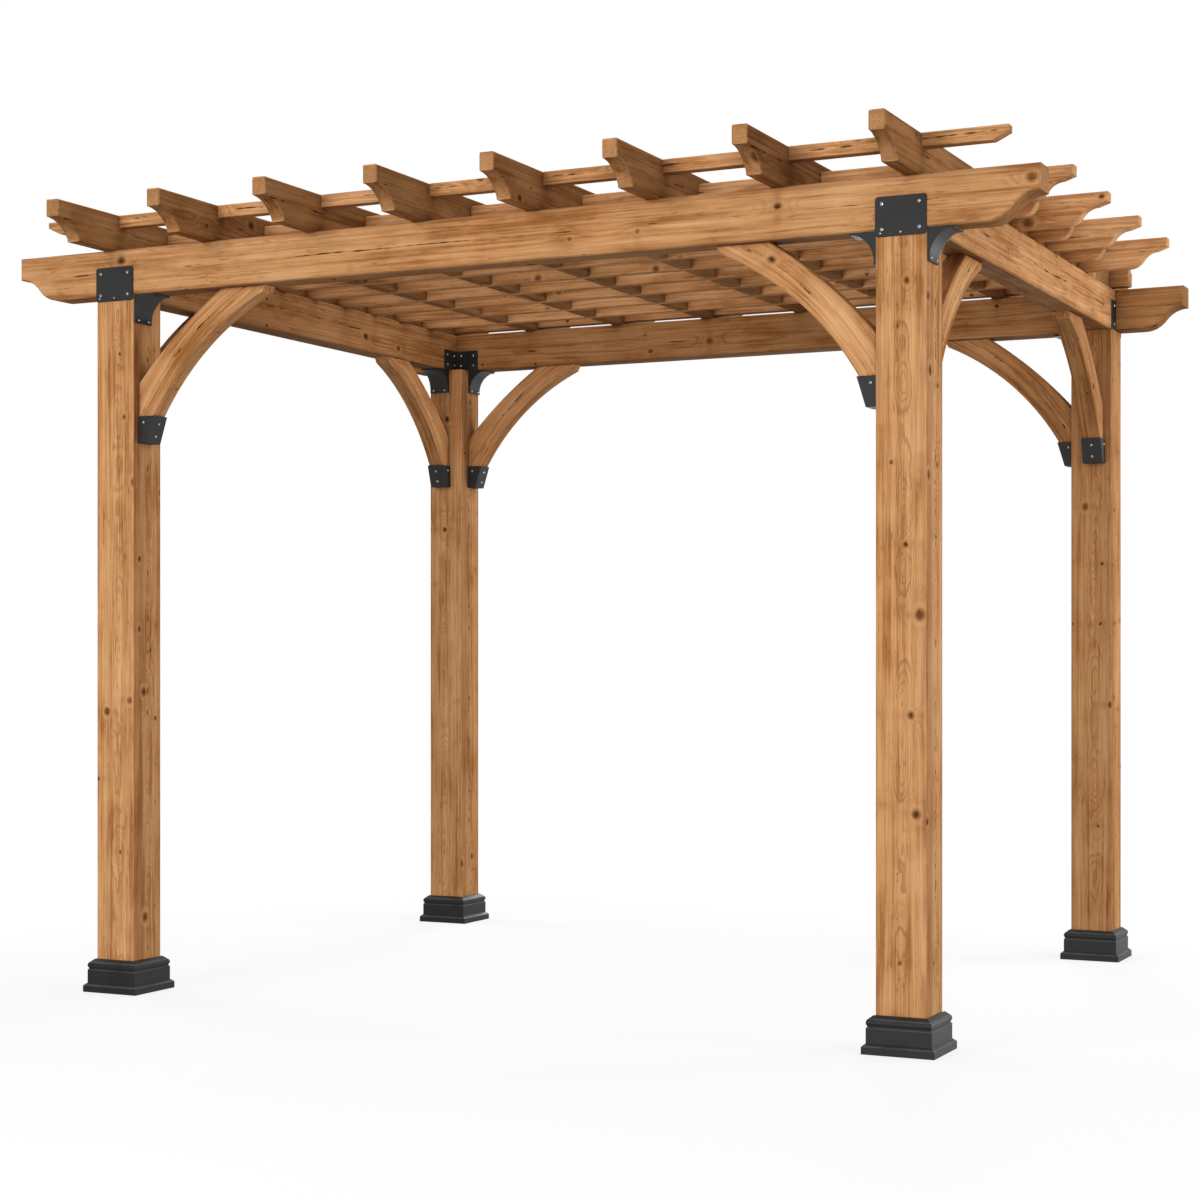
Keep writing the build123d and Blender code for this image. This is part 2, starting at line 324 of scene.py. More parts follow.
def open_checks(w, given, face):
    """Fine drying cracks: broken lines near the middle of the upright faces, fewer on the others."""
    lines = []
    for number, (spread, gap) in enumerate(CHECK_LINES):
        lane = w.total(face["lane"], 11.3 * number)
        start = w.product(w.math("SUBTRACT", face["dice"][number + 1], 0.5), face["half"], spread)
        wander = w.swing(w.join(w.product(face["x"], 3.1), lane, 4.0), 1.0, 3.0)
        line = w.math("MULTIPLY_ADD", wander, CHECK_WANDER, start)
        away = w.math("ABSOLUTE", w.math("SUBTRACT", face["v"], line))
        run = w.noise(w.join(w.product(face["x"], given["Check Rate"]), lane, 9.0), 1.0, 2.0, 0.6)
        over = w.math("SUBTRACT", run, w.math("MULTIPLY_ADD", face["flat"], 0.10, gap))
        width = w.remap(over, 0.0, 0.16, 0.0, CHECK_WIDTH)
        inside = w.remap(w.math("SUBTRACT", away, width), CHECK_EDGE, -CHECK_EDGE)
        lines.append(w.product(w.math("GREATER_THAN", over, 0.0), inside))
    return w.math("MAXIMUM", *lines)


def cedar_grain():
    """The figure of one timber, with its length along x: colour, roughness and relief."""
    tree = bpy.data.node_groups.new("cedar_grain", "ShaderNodeTree")
    for name in ("Place", "Facing", "Half Size"):
        tree.interface.new_socket(name, in_out="INPUT", socket_type="NodeSocketVector")
    for name in ("Seed", *POST_CUT, "Shade", "Arris Shade"):
        tree.interface.new_socket(name, in_out="INPUT", socket_type="NodeSocketFloat")
    tree.interface.new_socket("Color", in_out="OUTPUT", socket_type="NodeSocketColor")
    for name in ("Roughness", "Height"):
        tree.interface.new_socket(name, in_out="OUTPUT", socket_type="NodeSocketFloat")
    w = Wiring(tree)
    given = w.node("NodeGroupInput").outputs
    face = read_face(w, given)
    knots = find_knots(w, given, face)
    late = grow_rings(w, given, face, knots)
    check = open_checks(w, given, face)

    # Fibres drawn out along the length, dark flecks among them, and slow drifts of tone
    seeded = w.vector("ADD", given["Place"], w.join(given["Seed"], w.product(face["lane"], 0.37), 0.0))
    layers = {}
    for name, (along, across, rough) in FIBRE_LAYERS.items():
        layers[name] = w.swing(w.vector("MULTIPLY", seeded, (along, across, across)), 1.0, 3.0, rough)
    fine, fibre, streak = layers["fine"], layers["fibre"], layers["streak"]
    fleck = w.noise(w.vector("MULTIPLY", seeded, FLECK_RATES), 1.0, 1.0)
    fleck = w.product(w.remap(fleck, 0.58, 0.72), w.remap(layers["blotch"], 0.10, -0.15))

    # Arrises: painted shade in a band beside each edge and a painted highlight line on it, both broken by
    # noise, and painted shade beside one edge of each upright face
    edge = w.math("SUBTRACT", face["half"], w.math("ABSOLUTE", face["v"]))
    arris_noise = w.noise(w.vector("MULTIPLY", seeded, (8.0, 24.0, 24.0)), 1.0, 3.0)
    band = w.product(w.remap(edge, *ARRIS_SHADE_BAND), w.remap(arris_noise, 0.25, 0.65))
    arris_highlight = w.product(w.remap(edge, *ARRIS_HIGHLIGHT), w.remap(arris_noise, 0.62, 0.40))
    # Painted shade beside one edge of each upright face, as strong as the timber asks
    from_low = w.math("ADD", face["half"], face["v"])
    upright = w.math("SUBTRACT", 1.0, face["flat"])
    stain = w.product(w.remap(from_low, *SIDE_SHADE_BAND), upright, given["Arris Shade"])

    tone = w.total(*[w.product(layers[name], weight) for name, weight in TONE_WEIGHTS.items()])
    colour = w.mix(w.remap(tone, -0.05, 0.42), CEDAR_EARLY, CEDAR_PALE)
    colour = w.mix(w.remap(tone, 0.03, -0.42), colour, CEDAR_RED)
    colour = w.mix(w.product(face["end"], 0.75), colour, CEDAR_END)
    colour = w.mix(w.product(late, 0.54), colour, CEDAR_LATE)
    colour = w.mix(w.remap(fine, 0.02, 0.26, 0.0, 0.62), colour, CEDAR_LATE)
    colour = w.mix(w.remap(fine, -0.02, -0.28, 0.0, 0.60), colour, CEDAR_PALE)
    colour = w.mix(w.product(fleck, 0.50), colour, CEDAR_LATE)
    colour = w.mix(w.product(knots["swell"], 0.35), colour, CEDAR_RED)
    colour = w.mix(w.product(knots["smear"], w.remap(streak, -0.15, 0.15, 0.15, 0.65)), colour, CEDAR_LATE)
    # Painted shade at the arrises and beside one edge, then the painted highlight on the arrises
    colour = w.mix(w.product(band, 0.30), colour, CEDAR_LATE)
    colour = w.mix(stain, colour, CEDAR_LATE)
    colour = w.mix(w.product(arris_highlight, 0.45), colour, CEDAR_PALE)
    colour = w.mix(w.product(knots["halo"], 0.35), colour, CEDAR_PALE)
    colour = w.mix(w.product(knots["rim"], w.remap(fibre, -0.18, 0.15, 0.45, 0.95)), colour, KNOT_RIM)
    colour = w.mix(w.product(knots["heart"], w.remap(fine, -0.22, 0.12, 0.45, 0.98)), colour, KNOT_HEART)
    colour = w.mix(w.product(check, 0.88), colour, CHECK_DARK)
    piece = w.remap(w.dice(given["Seed"])[0], 0.0, 1.0, 0.93, 1.07)
    # Shade carries the staining together with the painted shade and light
    stain_and_shade = w.product(piece, given["Shade"])
    stain_and_shade = w.join(*[w.math("POWER", stain_and_shade, depth) for depth in STAIN_AND_SHADE_TINT])
    colour = w.vector("MULTIPLY", colour, stain_and_shade)

    rough = w.total(WOOD_ROUGHNESS, w.product(fine, 0.25), w.product(late, -0.08), w.product(check, 0.1))
    height = w.total(w.product(fine, 0.40), w.product(late, 0.30), w.product(check, -1.3))
    height = w.total(height, w.product(knots["rim"], 0.3), w.product(knots["heart"], -0.5))
    result = w.node("NodeGroupOutput")
    w.feed(result.inputs["Color"], colour)
    w.feed(result.inputs["Roughness"], rough)
    w.feed(result.inputs["Height"], height)
    return tree


GRAIN = cedar_grain()
ALONG = {"x": (0, 1, 2), "y": (1, 0, 2), "z": (2, 0, 1)}

# Where each timber lies in the noise: the first of its kind, and the step to the next
SEEDS = {
    "post": (1.3, 2.7),
    "long_beam": (21.4, 3.3),
    "side_beam": (31.7, 3.9),
    "rafter": (41.2, 2.3),
    "slat": (63.1, 4.4),
    "tail": (81.3, 5.1),
    "brace": (91.5, 3.7),
}
BOARD_SEED = 71.9
LANE_SEED_STEP = 3.17
SIDE_BRACE_SEED_STEP = 1.9

# The middle line of an arched brace along its slope: its rise over the centre of its box, and its curve
BRACE_RISE = 0.088
BRACE_CURVE = 0.54
BRACE_HALF_DEPTH = 0.046


def seed_of(kind, number):
    first, step = SEEDS[kind]
    return first + step * number


def cedar(
    name, seed, centre, half, axis, cut,
    shade=1.0, stain=0.0, painted_top_light=1.0, under=1.0, tips=1.0, turn=None, lanes=0.0,
):
    """Stained cedar for one timber: its centre, half sizes, the axis that its grain follows and its cut.

    Shade sets how dark the timber is, partly its staining and partly painted shade; the next three paint
    light on the top, shade on the underside and light on the ends. Turn lays a brace along its slope, and
    lanes is the pitch of timbers that share one node.
    """
    material, w = new_material(f"cedar_{name}")
    spot = w.node("ShaderNodeTexCoord").outputs
    place = w.vector("SUBTRACT", spot["Object"], centre)
    facing = spot["Normal"]
    if turn:
        place = w.node("ShaderNodeMapping", {"Vector": place, "Rotation": turn}).outputs[0]
        facing = w.node("ShaderNodeMapping", {"Vector": facing, "Rotation": turn}).outputs[0]
    order = ALONG[axis]
    parts = w.split(place)
    grain_seed = seed
    if turn:
        run = parts[order[0]]
        rise = w.math("MULTIPLY_ADD", w.product(run, run), -BRACE_CURVE, BRACE_RISE)
        parts = (parts[0], parts[1], w.math("SUBTRACT", parts[2], rise))
    if lanes:
        count = w.math("ROUND", w.math("DIVIDE", parts[1], lanes))
        own_y = w.math("SUBTRACT", parts[1], w.product(count, lanes))
        parts = (parts[0], own_y, parts[2])
        grain_seed = w.math("MULTIPLY_ADD", count, LANE_SEED_STEP, seed)
    sides = w.split(facing)
    group = w.node("ShaderNodeGroup", node_tree=GRAIN)
    w.feed(group.inputs["Place"], w.join(*[parts[i] for i in order]))
    w.feed(group.inputs["Facing"], w.join(*[sides[i] for i in order]))
    w.feed(group.inputs["Half Size"], [half[i] for i in order])
    w.feed(group.inputs["Seed"], grain_seed)
    for key, value in {**cut, "Arris Shade": stain}.items():
        w.feed(group.inputs[key], value)
    # Painted shade: occlusion darkens creases and the wood near joints
    open_air = w.node("ShaderNodeAmbientOcclusion", {"Distance": CREASE_SHADE_REACH}, samples=6).outputs["AO"]
    # Painted light on the top and the ends, and painted shade on the underside
    up = w.split(spot["Normal"])[2]
    shade = w.remap(up, 0.3, 0.9, shade, shade * painted_top_light)
    below = w.remap(up, -0.3, -0.9, 1.0, under)
    tip = w.remap(w.math("ABSOLUTE", sides[order[0]]), 0.60, 0.85, 1.0, tips)
    crease_shade = w.remap(open_air, 0.25, 0.90, CREASE_SHADE_DARKEST, 1.0)
    w.feed(group.inputs["Shade"], w.product(shade, below, tip, crease_shade))
    relief = {"Strength": WOOD_BUMP, "Distance": WOOD_RELIEF, "Height": group.outputs["Height"]}
    bump = w.node("ShaderNodeBump", relief)
    skin = w.node("ShaderNodeBsdfPrincipled", {"Base Color": group.outputs["Color"]})
    w.feed(skin.inputs["Roughness"], group.outputs["Roughness"])
    w.feed(skin.inputs["Normal"], bump.outputs[0])
    skin.inputs["Specular IOR Level"].default_value = WOOD_GLOSS
    w.node("ShaderNodeOutputMaterial", {"Surface": skin.outputs[0]})
    return material


# The surface of the steel: waves a metre of its peel, patches, grit and the painted highlights on the bolts,
# and its relief in metres
COAT_PEEL_RATE = 700.0
COAT_PATCH_RATE = 14.0
COAT_GRIT_RATE = 240.0
COAT_BUMP = 0.20
COAT_RELIEF = 0.0004
BOLT_HIGHLIGHT_RATE = 420.0


def coated_steel(name, body, dusty, roughness, gloss, highlight_heights=()):
    """Powder coat with a fine orange peel, dust on its ledges, and painted highlight lines, broken up by
    patches, at the heights given.
    """
    material, w = new_material(name)
    spot = w.node("ShaderNodeTexCoord").outputs
    peel = w.noise(spot["Object"], COAT_PEEL_RATE, 2.0, 0.6)
    patch = w.noise(spot["Object"], COAT_PATCH_RATE, 4.0, 0.6)
    grit = w.noise(spot["Object"], COAT_GRIT_RATE, 2.0, 0.5)
    ledge = w.remap(w.split(spot["Normal"])[2], 0.15, 0.75)
    dust = w.product(w.remap(patch, 0.30, 0.70), 0.5)
    dust = w.total(dust, w.product(ledge, 0.5), w.remap(grit, 0.60, 0.75, 0.0, 0.25))
    colour = w.mix(dust, body, dusty)
    height = w.split(spot["Object"])[2]
    # Painted highlight lines along the edges at the heights given
    for level, reach in highlight_heights:
        away = w.math("ABSOLUTE", w.math("SUBTRACT", height, level))
        highlight = w.product(w.remap(away, reach, 0.0), w.remap(patch, 0.25, 0.60, 0.35, 1.0))
        colour = w.mix(highlight, colour, EDGE_HIGHLIGHT)
    bump = w.node("ShaderNodeBump", {"Strength": COAT_BUMP, "Distance": COAT_RELIEF, "Height": peel})
    skin = w.node("ShaderNodeBsdfPrincipled", {"Base Color": colour, "Normal": bump.outputs[0]})
    w.feed(skin.inputs["Roughness"], w.total(roughness, w.product(patch, 0.18), w.product(grit, 0.08)))
    skin.inputs["Specular IOR Level"].default_value = gloss
    w.node("ShaderNodeOutputMaterial", {"Surface": skin.outputs[0]})
    return material


def bolt_steel(name):
    """Dark plated heads with brighter, glossier patches of painted highlight scattered by noise."""
    material, w = new_material(name)
    spot = w.node("ShaderNodeTexCoord").outputs["Object"]
    highlight = w.noise(spot, BOLT_HIGHLIGHT_RATE, 3.0, 0.6)
    # Painted highlights: brighter patches, scattered by noise
    colour = w.mix(w.remap(highlight, 0.35, 0.70), BOLT_DULL, BOLT_HIGHLIGHT)
    skin = w.node("ShaderNodeBsdfPrincipled", {"Base Color": colour})
    skin.inputs["Metallic"].default_value = 1.0
    w.feed(skin.inputs["Roughness"], w.remap(highlight, 0.30, 0.70, 0.36, 0.22))
    w.node("ShaderNodeOutputMaterial", {"Surface": skin.outputs[0]})
    return material


# Finishes of the steel, with the painted highlight lines along the edges of a base trim as (height, reach)
# in metres
EDGE_HIGHLIGHT = rgb(0.085, 0.085, 0.082)
TRIM_HIGHLIGHT_EDGES = ((0.0215, 0.0034), (0.0686, 0.0022), (0.0915, 0.0026))
BOLT_DULL = rgb(0.140, 0.140, 0.136)
BOLT_HIGHLIGHT = rgb(0.420, 0.414, 0.400)
STEEL_BLACK = rgb(0.009, 0.009, 0.009)
STEEL_DUSTY = rgb(0.022, 0.022, 0.021)
TRIM_CHARCOAL = rgb(0.007, 0.007, 0.007)
TRIM_DUSTY = rgb(0.021, 0.021, 0.020)
BLACK_STEEL = coated_steel("black_powder_coat", STEEL_BLACK, STEEL_DUSTY, 0.40, 0.26)
CHARCOAL_TRIM = coated_steel("charcoal_trim", TRIM_CHARCOAL, TRIM_DUSTY, 0.34, 0.20, TRIM_HIGHLIGHT_EDGES)
BOLT_STEEL = bolt_steel("plated_bolts")


def dress(node, material):
    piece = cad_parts[node]
    piece.data.materials.clear()
    piece.data.materials.append(material)


def middle_and_half(node):
    low, high = (Vector(corner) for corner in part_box(node))
    return (low + high) / 2, (high - low) / 2


def dress_timber(node, seed, axis, cut, **more):
    centre, half = middle_and_half(node)
    dress(node, cedar(node, seed, centre, half, axis, cut, **more))


# How dark each timber is: partly its staining, partly painted shade (darker rear, left and inner timbers,
# beam undersides) and painted light (paler boards and tails, rafter tops and ends)
POST_SHADES = {"front_left": 1.0, "front_right": 1.0, "rear_left": 0.88, "rear_right": 0.74}
# Painted shade beside one edge of the posts' upright faces
POST_SIDE_SHADE = 0.34
LONG_BEAM_SHADES = {"front_beam": 0.92, "rear_beam": 0.69}
SIDE_BEAM_SHADES = {"left_beam": 0.74, "right_beam": 0.90}
BEAM_UNDER = 0.66
RAFTER_STAIN_SHADE_AND_LIGHT = {"shade": 0.56, "painted_top_light": 1.45, "tips": 1.75}
BOARD_SHADE = 1.16
TAIL_STAIN_AND_LIGHT = {"shade": 1.15, "tips": 1.20}
BRACE_SHADES = {"front_left": 0.92, "front_right": 0.92, "rear_left": 0.78, "rear_right": 0.64}
BRACE_SLOPE = math.radians(45)


def dress_posts():
    for number, (corner, shade) in enumerate(POST_SHADES.items()):
        seed = seed_of("post", number)
        dress_timber(f"post_{corner}", seed, "z", POST_CUT, shade=shade, stain=POST_SIDE_SHADE)


def dress_beams():
    for number, (node, shade) in enumerate(LONG_BEAM_SHADES.items()):
        seed = seed_of("long_beam", number)
        dress_timber(node, seed, "x", BEAM_CUT, shade=shade, under=BEAM_UNDER)
    for number, (node, shade) in enumerate(SIDE_BEAM_SHADES.items()):
        seed = seed_of("side_beam", number)
        dress_timber(node, seed, "y", BEAM_CUT, shade=shade, under=BEAM_UNDER)


def dress_rafters():
    for number in range(RAFTER_COUNT):
        seed = seed_of("rafter", number)
        dress_timber(f"rafter_{number + 1}", seed, "y", RAFTER_CUT, **RAFTER_STAIN_SHADE_AND_LIGHT)


def dress_slats():
    for number, node in enumerate(("front_slat", "rear_slat")):
        dress_timber(node, seed_of("slat", number), "x", SLAT_CUT)
    centre, half = middle_and_half("inner_slats")
    pitch = (2 * half.y - BOARD_WIDTH) / (BOARD_COUNT - 1)
    sizes = (half.x, BOARD_WIDTH / 2, half.z)
    boards = cedar("inner_slats", BOARD_SEED, centre, sizes, "x", BOARD_CUT, shade=BOARD_SHADE, lanes=pitch)
    dress("inner_slats", boards)


def dress_tails():
    for number, node in enumerate(("left_rafter_tails", "right_rafter_tails")):
        centre, half = middle_and_half(node)
        pitch = (2 * half.y - TAIL_WIDTH) / (TAIL_COUNT - 1)
        centre.y += pitch / 2
        sizes = (half.x, TAIL_WIDTH / 2, half.z)
        seed = seed_of("tail", number)
        dress(node, cedar(node, seed, centre, sizes, "x", RAFTER_CUT, lanes=pitch, **TAIL_STAIN_AND_LIGHT))


def dress_braces():
    for number, (corner, (sx, sy)) in enumerate(CORNERS.items()):
        long_seed = seed_of("brace", number)
        side_seed = long_seed + SIDE_BRACE_SEED_STEP
        runs = {
            f"long_brace_{corner}": (long_seed, "x", (0.0, -sx * BRACE_SLOPE, 0.0)),
            f"side_brace_{corner}": (side_seed, "y", (sy * BRACE_SLOPE, 0.0, 0.0)),
        }
        for node, (seed, axis, turn) in runs.items():
            centre, half = middle_and_half(node)
            sizes = (half.x, half.y, BRACE_HALF_DEPTH)
            shade = BRACE_SHADES[corner]
            dress(node, cedar(node, seed, centre, sizes, axis, BRACE_CUT, shade=shade, turn=turn))


def dress_steel():
    for corner in CORNERS:
        dress(f"base_trim_{corner}", CHARCOAL_TRIM)
        dress(f"brace_shoes_{corner}", BLACK_STEEL)
        dress(f"angle_brackets_{corner}", BLACK_STEEL)
    for node in ("front_beam_plates", "rear_beam_plates", "side_beam_plates", "inner_corner_plates"):
        dress(node, BLACK_STEEL)


# Bolts and screws, in metres: head sizes, with rings up the dome as shares of its radius and height
HEAD_RADIUS = 0.0058
HEAD_HEIGHT = 0.0040
HEAD_SIDES = 18
HEAD_MERGE = 1e-5
HEAD_SPIN_SEED = 7
HEAD_RING_SHARES = ((1.0, 0.0), (1.0, 0.26), (0.93, 0.55), (0.74, 0.84), (0.45, 1.0))
SOCKET_RADIUS = 0.0024
SOCKET_DEPTH = 0.0020
SOCKET_SIDES = 6
SCREW_SCALE = 0.62
SMALL_BOLT_SCALE = 0.85

# Places of the bolts on the steel, in metres
STEEL = 0.004
PLATE_INSET = 0.019
SIDE_PLATE_WIDTH = 0.056
CORNER_LEG = 0.096
SHOE_TOP_REACH = 0.061
SHOE_FOOT_REACH = 0.035
SHOE_BOLT_SHARES = (0.26, 0.72)
SHOE_CHEEK_SHARE = 0.6
BRACKET_BOLT_DROP = 0.0785
BRACKET_BOLT_REACH = 0.0063
BRACKET_BOLT_SPREAD = 0.024


def plate_bolts():
    """Four bolts in the corners of each plate over a post, and two screws at its lower edge."""
    seats = []
    for corner, (sx, sy) in CORNERS.items():
        low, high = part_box("front_beam_plates" if sy < 0 else "rear_beam_plates")
        post_low, post_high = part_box(f"post_{corner}")
        y = low[1] if sy < 0 else high[1]
        outward = (0, sy, 0)
        columns = (post_low[0] + PLATE_INSET, post_high[0] - PLATE_INSET)
        for x in columns:
            for z in (low[2] + PLATE_INSET, high[2] - PLATE_INSET):
                seats.append(((x, y, z), outward, 1.0))
        lower = low[2] + PLATE_INSET / 2
        for x in (columns[0] - PLATE_INSET / 4, sum(columns) / 2):
            seats.append(((x, y, lower), outward, SCREW_SCALE))
    return seats


def side_plate_bolts():
    low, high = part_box("side_beam_plates")
    seats = []
    for sx, sy in CORNERS.values():
        x = high[0] if sx > 0 else low[0]
        y = sy * (high[1] - SIDE_PLATE_WIDTH / 2)
        for z in (low[2] + PLATE_INSET, high[2] - PLATE_INSET):
            seats.append(((x, y, z), (sx, 0, 0), 1.0))
    return seats


def corner_plate_bolts():
    """Four bolts in each leg of the plates inside the corners of the beams."""
    low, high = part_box("inner_corner_plates")
    seats = []
    for sx, sy in CORNERS.values():
        for along in (PLATE_INSET + STEEL, CORNER_LEG - PLATE_INSET):
            for z in (low[2] + PLATE_INSET, high[2] - PLATE_INSET):
                on_long = (sx * (high[0] - along), sy * (high[1] - STEEL), z)
                on_side = (sx * (high[0] - STEEL), sy * (high[1] - along), z)
                seats.append((on_long, (0, -sy, 0), SMALL_BOLT_SCALE))
                seats.append((on_side, (-sx, 0, 0), SMALL_BOLT_SCALE))
    return seats


def shoe_bolts():
    """One bolt in each cheek of a shoe and two down its sloping front."""
    seats = []
    for corner, (sx, sy) in CORNERS.items():
        post, post_half = middle_and_half(f"post_{corner}")
        low, high = (Vector(c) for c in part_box(f"brace_shoes_{corner}"))
        tall = high.z - low.z
        fall = Vector((tall, 0, SHOE_FOOT_REACH - SHOE_TOP_REACH)).normalized()
        for run, away in (("long", Vector((-sx, 0, 0))), ("side", Vector((0, -sy, 0)))):
            brace, brace_half = middle_and_half(f"{run}_brace_{corner}")
            across = Vector((0, 0, 1)).cross(away)
            foot = post + away * post_half.x
            foot += across * (brace - foot).dot(across)
            foot.z = low.z
            cheek = brace_half.dot(Vector([abs(c) for c in across])) + STEEL
            hole = foot + away * SHOE_FOOT_REACH * SHOE_CHEEK_SHARE + Vector((0, 0, tall - PLATE_INSET))
            for side in (-1, 1):
                spot = hole + across * side * cheek
                seats.append((spot, across * side, SMALL_BOLT_SCALE))
            for share in SHOE_BOLT_SHARES:
                reach = SHOE_FOOT_REACH + share * (SHOE_TOP_REACH - SHOE_FOOT_REACH)
                outward = away * fall.x + Vector((0, 0, fall.z))
                seats.append((foot + away * reach + Vector((0, 0, share * tall)), outward, SMALL_BOLT_SCALE))
    return seats


def bracket_bolts():
    """Two bolts low on the leg of each angle bracket."""
    seats = []
    for corner, (sx, sy) in CORNERS.items():
        post, half = middle_and_half(f"post_{corner}")
        beam_y = middle_and_half("front_beam" if sy < 0 else "rear_beam")[0].y
        beam_x = middle_and_half("left_beam" if sx < 0 else "right_beam")[0].x
        z = post.z + half.z - BRACKET_BOLT_DROP
        reach = half.x + BRACKET_BOLT_REACH
        for step in (-BRACKET_BOLT_SPREAD, BRACKET_BOLT_SPREAD):
            seat = {
                "under_long": ((post.x - sx * reach, beam_y + step, z), (-sx, 0, 0), SMALL_BOLT_SCALE),
                "under_side": ((beam_x + step, post.y - sy * reach, z), (0, -sy, 0), SMALL_BOLT_SCALE),
                "outside": ((post.x + sx * reach, beam_y + step, z), (sx, 0, 0), SMALL_BOLT_SCALE),
            }
            seats += [seat[side] for side in BRACKET_SIDES[corner]]
    return seats


def bolt_head_tree():
    """A domed head with a hexagon socket on each point, turned to face outward."""
    tree = bpy.data.node_groups.new("bolt_heads", "GeometryNodeTree")
    face = tree.interface
    face.new_socket("Geometry", in_out="INPUT", socket_type="NodeSocketGeometry")
    inputs = {}
    for name in ("Head Radius", "Head Height", "Socket Radius", "Socket Depth"):
        inputs[name] = face.new_socket(name, in_out="INPUT", socket_type="NodeSocketFloat").identifier
    inputs["Finish"] = face.new_socket("Finish", in_out="INPUT", socket_type="NodeSocketMaterial").identifier
    face.new_socket("Geometry", in_out="OUTPUT", socket_type="NodeSocketGeometry")
    w = Wiring(tree)
    given = w.node("NodeGroupInput").outputs
    head = w.node("GeometryNodeJoinGeometry")
    for lower, upper in zip(HEAD_RING_SHARES, HEAD_RING_SHARES[1:]):
        sizes = {
            "Vertices": HEAD_SIDES,
            "Radius Bottom": w.product(given["Head Radius"], lower[0]),
            "Radius Top": w.product(given["Head Radius"], upper[0]),
            "Depth": w.product(given["Head Height"], upper[1] - lower[1]),
        }
        wall = w.node("GeometryNodeMeshCone", sizes, fill_type="NONE").outputs["Mesh"]
        lift = w.join(0.0, 0.0, w.product(given["Head Height"], lower[1]))
        wall = w.node("GeometryNodeTransform", {"Geometry": wall, "Translation": lift}).outputs[0]
        tree.links.new(wall, head.inputs[0])
    for share, level in (HEAD_RING_SHARES[0], HEAD_RING_SHARES[-1]):
        disc = {"Vertices": HEAD_SIDES, "Radius": w.product(given["Head Radius"], share)}
        cap = w.node("GeometryNodeMeshCircle", disc, fill_type="NGON").outputs[0]
        if level == 0.0:
            cap = w.node("GeometryNodeFlipFaces", {0: cap}).outputs[0]
        lift = w.join(0.0, 0.0, w.product(given["Head Height"], level))
        cap = w.node("GeometryNodeTransform", {"Geometry": cap, "Translation": lift}).outputs[0]
        tree.links.new(cap, head.inputs[0])
    merge = {"Geometry": head.outputs[0], "Distance": HEAD_MERGE}
    solid = w.node("GeometryNodeMergeByDistance", merge).outputs[0]
    drill = {
        "Vertices": SOCKET_SIDES,
        "Radius Bottom": given["Socket Radius"],
        "Radius Top": given["Socket Radius"],
        "Depth": w.product(given["Socket Depth"], 2.0),
    }
    drill = w.node("GeometryNodeMeshCone", drill, fill_type="NGON").outputs["Mesh"]
    lift = w.join(0.0, 0.0, w.math("SUBTRACT", given["Head Height"], given["Socket Depth"]))
    drill = w.node("GeometryNodeTransform", {"Geometry": drill, "Translation": lift}).outputs[0]
    bodies = {"Mesh 1": solid, "Mesh 2": drill}
    socketed = w.node("GeometryNodeMeshBoolean", bodies, operation="DIFFERENCE", solver="EXACT")
    outward = w.node("GeometryNodeInputNamedAttribute", {"Name": "outward"}, data_type="FLOAT_VECTOR")
    scale = w.node("GeometryNodeInputNamedAttribute", {"Name": "head_scale"}, data_type="FLOAT")
    facing = w.node("FunctionNodeAlignRotationToVector", {"Vector": outward.outputs[0]}, axis="Z").outputs[0]
    spin = w.node("FunctionNodeRandomValue", {"Seed": HEAD_SPIN_SEED}, data_type="FLOAT")
    w.feed(spin.inputs[3], math.tau)
    twist = w.node("FunctionNodeAxisAngleToRotation", {"Axis": (0, 0, 1), "Angle": spin.outputs[1]})
    both = {"Rotation": facing, "Rotate By": twist.outputs[0]}
    turned = w.node("FunctionNodeRotateRotation", both, rotation_space="LOCAL")
    copies = {"Points": given["Geometry"], "Instance": socketed.outputs["Mesh"]}
    heads = w.node("GeometryNodeInstanceOnPoints", copies)
    w.feed(heads.inputs["Rotation"], turned.outputs[0])
    w.feed(heads.inputs["Scale"], scale.outputs[0])
    real = w.node("GeometryNodeRealizeInstances", {0: heads.outputs[0]}).outputs[0]
    done = w.node("GeometryNodeSetMaterial", {"Geometry": real, "Material": given["Finish"]}).outputs[0]
    w.node("NodeGroupOutput", {"Geometry": done})
    return tree, inputs


def fit_bolts():
    seats = plate_bolts() + side_plate_bolts() + corner_plate_bolts() + shoe_bolts() + bracket_bolts()
    points = bpy.data.meshes.new("bolt_seats")
    points.from_pydata([tuple(place) for place, _, _ in seats], [], [])
    facings = points.attributes.new("outward", "FLOAT_VECTOR", "POINT")
    facings.data.foreach_set("vector", [part for _, direction, _ in seats for part in direction])
    scales = points.attributes.new("head_scale", "FLOAT", "POINT")
    scales.data.foreach_set("value", [size for _, _, size in seats])
    carrier = bpy.data.objects.new("bolt_seats", points)
    scene.collection.objects.link(carrier)
    tree, inputs = bolt_head_tree()
    modifier = carrier.modifiers.new("heads", "NODES")
    modifier.node_group = tree
    sizes = (HEAD_RADIUS, HEAD_HEIGHT, SOCKET_RADIUS, SOCKET_DEPTH)
    for name, size in zip(("Head Radius", "Head Height", "Socket Radius", "Socket Depth"), sizes):
        modifier[inputs[name]] = size
    modifier[inputs["Finish"]] = BOLT_STEEL
    ready = carrier.evaluated_get(bpy.context.evaluated_depsgraph_get())
    mesh = bpy.data.meshes.new_from_object(ready)
    bpy.data.objects.remove(carrier)
    bolts = bpy.data.objects.new("fitting_bolts", mesh)
    scene.collection.objects.link(bolts)
    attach(bolts, "root")


# The floor is pale near the object and melts into a white surround
FLOOR_REACH = 60.0
FLOOR_PALE = rgb(0.25, 0.25, 0.25)
FLOOR_BOUNCE = rgb(0.16, 0.16, 0.16)
FLOOR_GLOW = 0.785
FLOOR_FADE = (2.6, 5.0)


